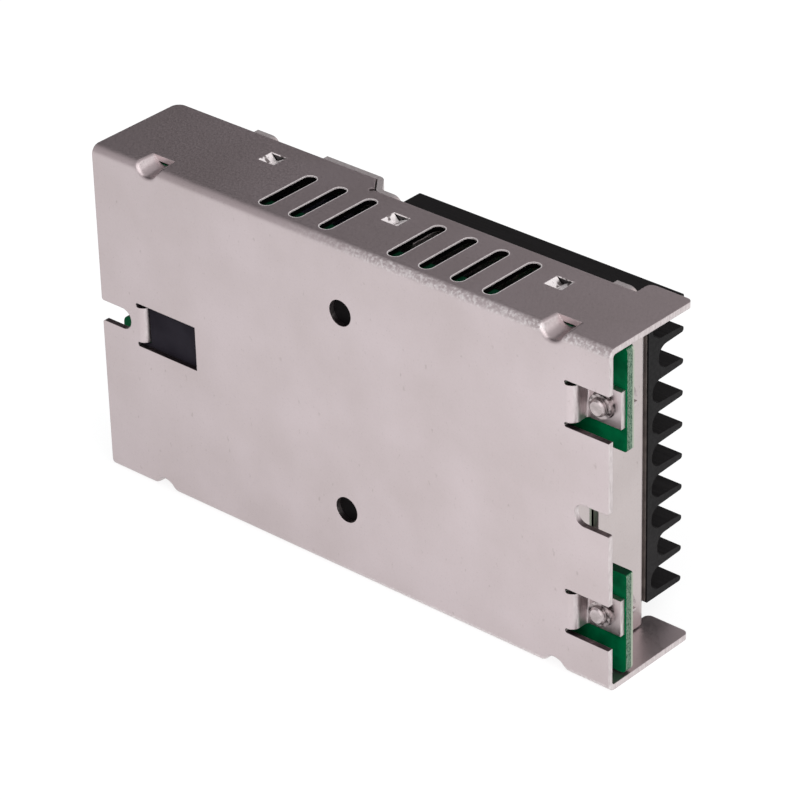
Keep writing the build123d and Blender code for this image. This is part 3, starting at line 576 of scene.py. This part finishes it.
def tube(points, radius, sides):
    """Corners and faces of a round bar that follows a line of points."""
    corners = []
    up = Vector((0, 0, 1))
    for index, point in enumerate(points):
        ahead = points[min(index + 1, len(points) - 1)] - points[max(index - 1, 0)]
        across = ahead.cross(up).normalized()
        up = across.cross(ahead).normalized()
        for side in range(sides):
            turn = 2 * pi * side / sides
            corners.append(point + (across * cos(turn) + up * sin(turn)) * radius)
    start_cap = tuple(range(sides))[::-1]
    return corners, skin(len(points), sides) + [start_cap, end_cap(len(points), sides)]


def turned(centre, profile, sides):
    """Corners and faces of a round form whose axis runs along Y, from points (radius, height)."""
    corners = []
    for radius, height in profile:
        for side in range(sides):
            turn = 2 * pi * side / sides
            corners.append(centre + Vector((radius * cos(turn), height, radius * sin(turn))) * MM)
    return corners, skin(len(profile), sides) + [end_cap(len(profile), sides)]


def make_piece(name, shapes, finish):
    """One piece of the object from several shapes, riding on the case."""
    corners, faces = [], []
    for shape_corners, shape_faces in shapes:
        start = len(corners)
        corners += shape_corners
        faces += [tuple(start + corner for corner in face) for face in shape_faces]
    mesh = bpy.data.meshes.new(name)
    mesh.from_pydata(corners, [], faces)
    mesh.materials.append(finish)
    piece = bpy.data.objects.new(name, mesh)
    bpy.context.scene.collection.objects.link(piece)
    turn_faces_out(mesh)
    mesh.shade_smooth()
    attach(piece, "root")


def turn_faces_out(mesh):
    """Turns the faces of a mesh so that all look outwards."""
    draft = bmesh.new()
    draft.from_mesh(mesh)
    bmesh.ops.recalc_face_normals(draft, faces=draft.faces)
    draft.to_mesh(mesh)
    draft.free()


def loop_point(part, wire):
    """Point (radius, height) on the way round the section of the ring core, with round corners."""
    inner, outer = RING_IN - wire, RING_OUT + wire
    low, high = RING_LOW - wire, RING_HIGH + wire
    turn = 2 * pi * part
    across, up = cos(turn), sin(turn)
    across = copysign(abs(across) ** ROUNDNESS, across)
    up = copysign(abs(up) ** ROUNDNESS, up)
    return (inner + outer) / 2 + across * (outer - inner) / 2, (low + high) / 2 + up * (high - low) / 2


def choke_winding(middle):
    """Wire wound round one half of the ring core, its two ends led down to the base."""
    wire = WIRE_D / 2 + WIRE_CLEAR
    points = []
    for step in range(TURNS * TURN_STEPS + 1):
        part = step / TURN_STEPS
        radius, height = loop_point(part, wire)
        way = middle + WIND_SPAN * (part / TURNS - 0.5)
        points.append(spot(RING_X + radius * cos(way), height, RING_Z + radius * sin(way)))
    down = Vector((0, RING_BASE_TOP - RING_LOW - WIRE_FOOT, 0)) * MM
    return tube([points[0] + down] + points + [points[-1] + down], WIRE_D / 2 * MM, WIRE_SIDES)


def thread(x, z):
    """Ridge of a screw thread along Y."""
    low, high = THREAD_SPAN
    turns = (high - low) / THREAD_PITCH
    count = int(turns * THREAD_STEPS)
    points = []
    for step in range(count + 1):
        part = step / count
        turn = 2 * pi * part * turns
        points.append(spot(x + THREAD_R * cos(turn), low + part * (high - low), z + THREAD_R * sin(turn)))
    return tube(points, THREAD_RIDGE * MM, THREAD_SIDES)


def pin_places():
    """Places (x, z) of the pins of all parts that are soldered through the board."""
    pins = [(POLE_X, z) for z in POLE_Z]
    pins += [(x, z + side) for x in CAP_X for z in CAP_Z for side in CAP_PINS]
    pins += [(x, z + side) for x in DEVICE_X for z in DEVICE_Z for side in DEVICE_PINS]
    pins += [(COIL_X + row, COIL_Z + side) for row in COIL_ROWS for side in COIL_PINS]
    ring_sides = (-RING_PIN, RING_PIN)
    return pins + [(RING_X + row, RING_Z + side) for row in ring_sides for side in ring_sides]


def make_pieces():
    """Pieces too fine for the CAD: the choke's wire, screw threads and solder joints."""
    windings = [choke_winding(0), choke_winding(pi)]
    threads = [thread(x, z) for x, z in BOARD_SCREWS]
    joints = [turned(spot(x, BOARD_FRONT, z), SOLDER_PROFILE, SOLDER_SIDES) for x, z in pin_places()]
    make_piece("line_choke_windings", windings, FINISHES["copper_wire"])
    make_piece("board_screw_threads", threads, FINISHES["zinc_screw"])
    make_piece("solder_joints", joints, FINISHES["tinned_lead"])


def make_floor():
    """Large plain floor under the object."""
    half = FLOOR_SIZE / 2
    corners = [(-half, -half, 0), (half, -half, 0), (half, half, 0), (-half, half, 0)]
    mesh = bpy.data.meshes.new("floor")
    mesh.from_pydata(corners, [], [tuple(range(len(corners)))])
    mesh.materials.append(floor_material())
    floor = bpy.data.objects.new("floor", mesh)
    bpy.context.scene.collection.objects.link(floor)


def make_world():
    """White studio round the horizon, darker above and behind, with a plain fill for matt surfaces."""
    world = bpy.data.worlds.new("studio")
    world.use_nodes = True
    tree = world.node_tree
    tree.nodes.clear()
    way = add(tree, "ShaderNodeTexCoord").outputs["Generated"]
    toward = add(tree, "ShaderNodeVectorMath", {0: way, 1: SKY_DARK_SIDE}, operation="DOT_PRODUCT")
    height = add(tree, "ShaderNodeSeparateXYZ", {"Vector": way}).outputs["Z"]
    sky = mixed(tree, ranged(tree, toward.outputs["Value"], *SKY_SHADE), SKY_HIGH, SKY_DARK)
    seen = mixed(tree, ranged(tree, height, *SKY_HORIZON), SKY_WHITE, sky)
    path = add(tree, "ShaderNodeLightPath")
    colour = mixed(tree, path.outputs["Is Diffuse Ray"], seen, SKY_FILL)
    glow = add(tree, "ShaderNodeBackground", {"Color": colour, "Strength": 1.0})
    add(tree, "ShaderNodeOutputWorld", {"Surface": glow.outputs[0]})
    bpy.context.scene.world = world


def make_lamp(name, place, size, power):
    """Soft square lamp aimed at the object."""
    data = bpy.data.lights.new(name, "AREA")
    data.size = size
    data.energy = power
    lamp = bpy.data.objects.new(name, data)
    lamp.location = place
    lamp.rotation_mode = "QUATERNION"
    lamp.rotation_quaternion = (Vector(LAMP_AIM) - Vector(place)).to_track_quat("-Z", "Y")
    bpy.context.scene.collection.objects.link(lamp)


def make_camera():
    """Camera at the photograph's place and angle."""
    data = bpy.data.cameras.new("camera")
    data.sensor_width = SENSOR_WIDTH
    data.lens = CAMERA_LENS
    data.clip_start = CLIP_NEAR
    data.clip_end = CLIP_FAR
    camera = bpy.data.objects.new("camera", data)
    turn = Matrix((CAMERA_RIGHT, CAMERA_UP, CAMERA_BACK)).transposed().to_4x4()
    camera.matrix_world = Matrix.Translation(CAMERA_PLACE) @ turn
    bpy.context.scene.collection.objects.link(camera)
    bpy.context.scene.camera = camera


dress_nodes()
make_pieces()
make_floor()
make_world()
for lamp_values in LAMPS:
    make_lamp(*lamp_values)
make_camera()
bpy.context.scene.view_settings.view_transform = "Standard"
